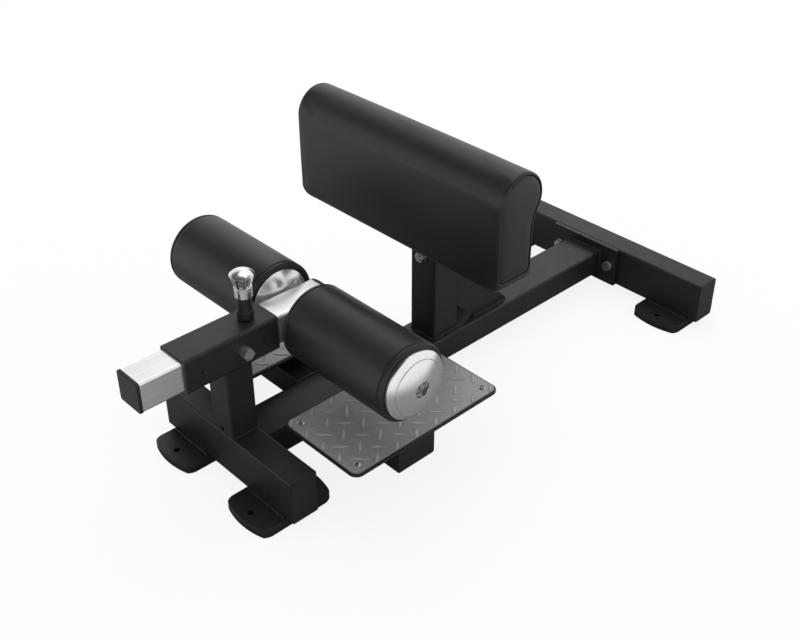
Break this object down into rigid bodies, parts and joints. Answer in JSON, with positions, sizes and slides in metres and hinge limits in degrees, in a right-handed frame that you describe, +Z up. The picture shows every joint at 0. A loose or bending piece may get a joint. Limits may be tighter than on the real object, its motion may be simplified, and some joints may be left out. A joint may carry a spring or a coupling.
{
  "type": "squat bench",
  "caption": "Floor-standing sissy squat bench with padded ankle rollers on a pin-locked slide tube, diamond tread foot plates and an upholstered calf pad on a black base frame.",
  "frame": {"origin": "on the floor, on the centre line, halfway along the whole length", "axes": "+X to the right side of the bench seen from its front, +Y from the roller end to the rear cross member, +Z up"},
  "size_m": [0.562, 1.1414, 0.4899],
  "materials": {
    "frame_coat": "satin black powder coat",
    "cap_plastic": "moulded black plastic, fine satin",
    "sole_rubber": "matt black rubber",
    "slide_chrome": "polished chrome plate",
    "pin_chrome": "polished chrome plate",
    "pin_steel": "ground steel",
    "spun_alloy": "spun and brushed",
    "tread_alloy": "dull rolled diamond tread",
    "zinc": "zinc plate",
    "vinyl": "smooth black vinyl, soft sheen",
    "board": "raw plywood",
    "liner": "black nylon"
  },
  "bodies": {
    "frame": {"front_base_tube": "frame_coat", "front_cap_left": "cap_plastic", "front_cap_right": "cap_plastic", "rear_base_tube": "frame_coat", "rear_cap_left": "cap_plastic", "rear_cap_right": "cap_plastic", "front_foot_left": "frame_coat", "front_foot_right": "frame_coat", "rear_foot_left": "frame_coat", "rear_foot_right": "frame_coat", "front_soles": "sole_rubber", "rear_soles": "sole_rubber", "centre_beam": "frame_coat", "rear_flange": "frame_coat", "flange_bolts": "zinc", "front_post": "frame_coat", "slide_sleeve": "frame_coat", "sleeve_liner_front": "liner", "sleeve_liner_rear": "liner", "side_bolt": "zinc", "pop_pin_barrel": "frame_coat", "pop_pin_spring": "pin_steel", "cross_tube_left": "frame_coat", "cross_tube_right": "frame_coat", "cross_cap_left": "cap_plastic", "cross_cap_right": "cap_plastic", "plate_riser_left": "frame_coat", "plate_riser_right": "frame_coat", "foot_plate_left": "frame_coat", "foot_plate_right": "frame_coat", "tread_plate_left": "tread_alloy", "tread_plate_right": "tread_alloy", "tread_screws": "zinc", "pad_post": "frame_coat", "post_gusset_left": "frame_coat", "post_gusset_right": "frame_coat", "pad_upright": "frame_coat", "upright_cap": "cap_plastic", "upright_bolt": "zinc", "pad_mount_plates": "frame_coat", "pad_board": "board", "calf_pad": "vinyl", "pad_bolts": "zinc"},
    "carriage": {"slide_tube": "slide_chrome", "slide_cap_front": "cap_plastic", "slide_cap_rear": "cap_plastic", "roller_axle": "slide_chrome", "axle_screws": "zinc"},
    "pull_pin": {"pop_pin_rod": "pin_steel", "pop_pin_knob": "pin_chrome"},
    "roller_left": {"roller_core_left": "frame_coat", "roller_cover_left": "vinyl", "roller_inner_cap_left": "spun_alloy", "roller_outer_cap_left": "spun_alloy", "roller_bushes_left": "liner"},
    "roller_right": {"roller_core_right": "frame_coat", "roller_cover_right": "vinyl", "roller_inner_cap_right": "spun_alloy", "roller_outer_cap_right": "spun_alloy", "roller_bushes_right": "liner"}
  },
  "joints": [
    {"name": "roller_slide", "type": "slide", "parent": "frame", "child": "carriage", "axis": [0, 1, 0], "range_m": [-0.025, 0.05]},
    {"name": "pull_pin_lift", "type": "slide", "parent": "frame", "child": "pull_pin", "axis": [0, 0, 1], "range_m": [-0.012, 0], "deforming": ["pop_pin_spring"]},
    {"name": "roller_left_spin", "type": "hinge", "parent": "carriage", "child": "roller_left", "pos_m": [0, -0.26625, 0.2535], "axis": [1, 0, 0], "continuous": true},
    {"name": "roller_right_spin", "type": "hinge", "parent": "carriage", "child": "roller_right", "pos_m": [0, -0.26625, 0.2535], "axis": [1, 0, 0], "continuous": true}
  ]
}
